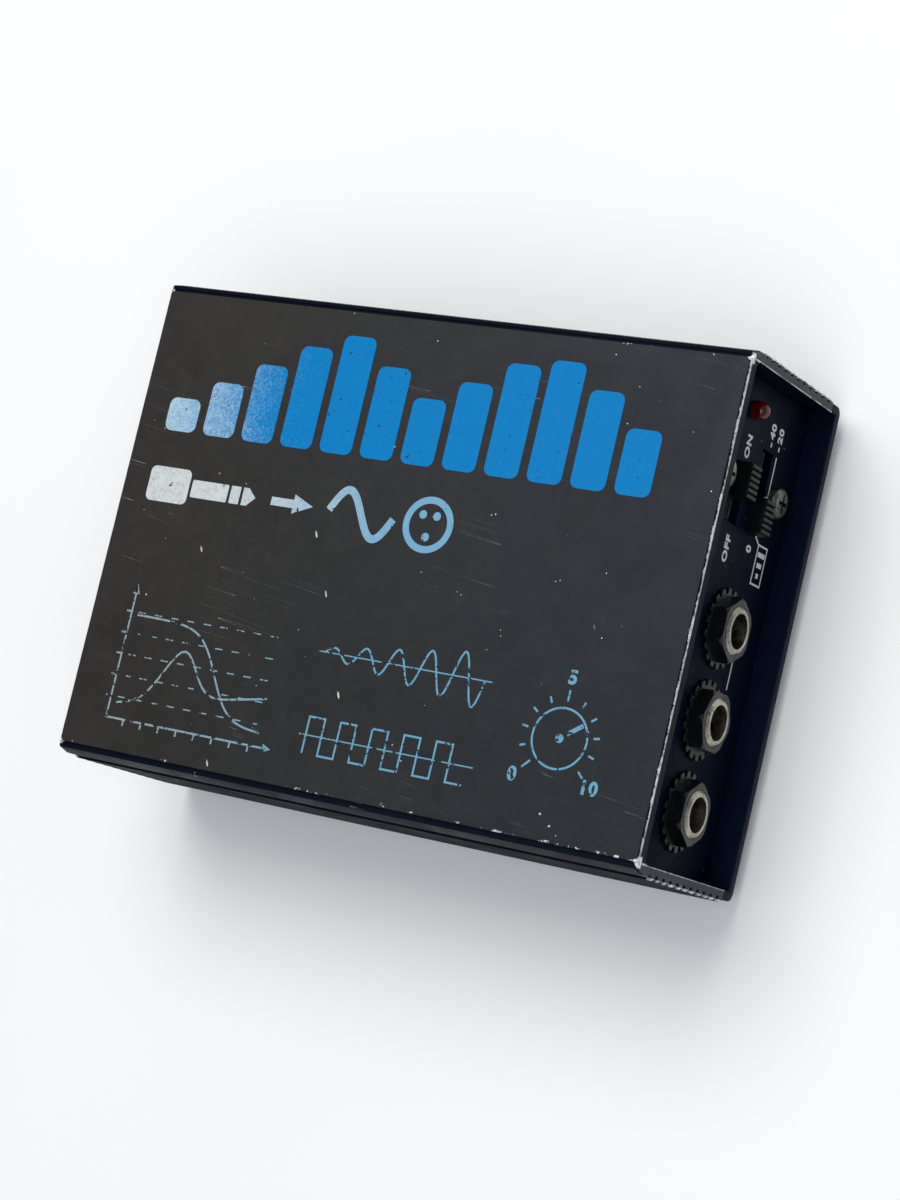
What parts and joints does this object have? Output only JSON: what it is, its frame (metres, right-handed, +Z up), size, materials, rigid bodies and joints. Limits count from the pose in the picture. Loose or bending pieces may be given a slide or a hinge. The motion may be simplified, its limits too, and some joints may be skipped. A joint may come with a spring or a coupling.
{
  "type": "direct injection box",
  "caption": "Compact metal direct box: ribbed case, recessed end panels, phone jacks, slide switches and a balanced output socket.",
  "frame": {"origin": "on the floor, midway between the feet", "axes": "+X along the case towards the jack sockets, +Y across the panel, +Z up through the top plate"},
  "size_m": [0.125, 0.094, 0.045],
  "materials": {
    "case_paint": "satin baked paint, worn at the edges",
    "panel_paint": "satin paint",
    "screw_steel": "nickel-plated, worn",
    "black_screw": "black zinc",
    "foot_rubber": "matte",
    "black_steel": "black oxide",
    "nickel": "satin nickel",
    "black_plastic": "moulded",
    "chip_plastic": "moulded epoxy",
    "phenolic": "pressed phenolic",
    "tinned_steel": "tinned",
    "contact_metal": "tinned bronze",
    "socket_metal": "black chromate",
    "pin_silver": "silver plated",
    "red_lens": "diffused red",
    "board_green": "solder mask over glass laminate",
    "battery_case": "printed steel jacket",
    "foam": "open-cell foam",
    "wire_pvc": "extruded insulation",
    "capacitor_sleeve": "shrink sleeve",
    "capacitor_resin": "dipped resin",
    "resistor_lacquer": "lacquered"
  },
  "bodies": {
    "housing": {"attenuator_switch_base": "phenolic", "attenuator_switch_can": "tinned_steel", "battery": "battery_case", "battery_clip": "tinned_steel", "battery_leads": "wire_pvc", "battery_pad": "foam", "battery_rivets": "screw_steel", "battery_snap": "black_plastic", "battery_terminals": "nickel", "board_screws": "screw_steel", "board_standoffs": "nickel", "bottom_cover": "case_paint", "case_cover": "case_paint", "cover_screws": "screw_steel", "electrolytic_capacitors": "capacitor_sleeve", "film_capacitors": "capacitor_resin", "foot_screws": "screw_steel", "ground_lift_switch_base": "phenolic", "ground_lift_switch_can": "tinned_steel", "hookup_wires": "wire_pvc", "input_jack_body": "black_plastic", "input_jack_bushing": "nickel", "input_jack_contacts": "contact_metal", "input_panel": "panel_paint", "input_switch_board": "board_green", "jack_nuts": "black_steel", "jack_washers": "black_steel", "led_leads": "contact_metal", "main_board": "board_green", "op_amps": "chip_plastic", "output_panel": "panel_paint", "output_switch_board": "board_green", "phase_switch_base": "phenolic", "phase_switch_can": "tinned_steel", "power_switch_base": "phenolic", "power_switch_can": "tinned_steel", "resistors": "resistor_lacquer", "rubber_feet": "foot_rubber", "status_led": "red_lens", "switch_screws": "screw_steel", "switch_spacers": "nickel", "switch_terminals": "contact_metal", "thru_jack_body": "black_plastic", "thru_jack_bushing": "nickel", "thru_jack_contacts": "contact_metal", "transistors": "chip_plastic", "unbalanced_jack_body": "black_plastic", "unbalanced_jack_bushing": "nickel", "unbalanced_jack_contacts": "contact_metal", "xlr_insert": "black_plastic", "xlr_pins": "pin_silver", "xlr_screws": "black_screw", "xlr_shell": "socket_metal"},
    "attenuator_knob": {"attenuator_knob": "black_plastic"},
    "ground_lift_knob": {"ground_lift_knob": "black_plastic"},
    "phase_knob": {"phase_knob": "black_plastic"},
    "power_knob": {"power_knob": "black_plastic"}
  },
  "joints": [
    {"name": "power_switch_slide", "type": "slide", "parent": "housing", "child": "power_knob", "axis": [0, 1, 0], "range_m": [-0.0043, 0]},
    {"name": "attenuator_slide", "type": "slide", "parent": "housing", "child": "attenuator_knob", "axis": [0, 1, 0], "range_m": [0, 0.0086]},
    {"name": "phase_switch_slide", "type": "slide", "parent": "housing", "child": "phase_knob", "axis": [0, 1, 0], "range_m": [-0.0043, 0]},
    {"name": "ground_lift_slide", "type": "slide", "parent": "housing", "child": "ground_lift_knob", "axis": [0, 1, 0], "range_m": [0, 0.0043]}
  ]
}
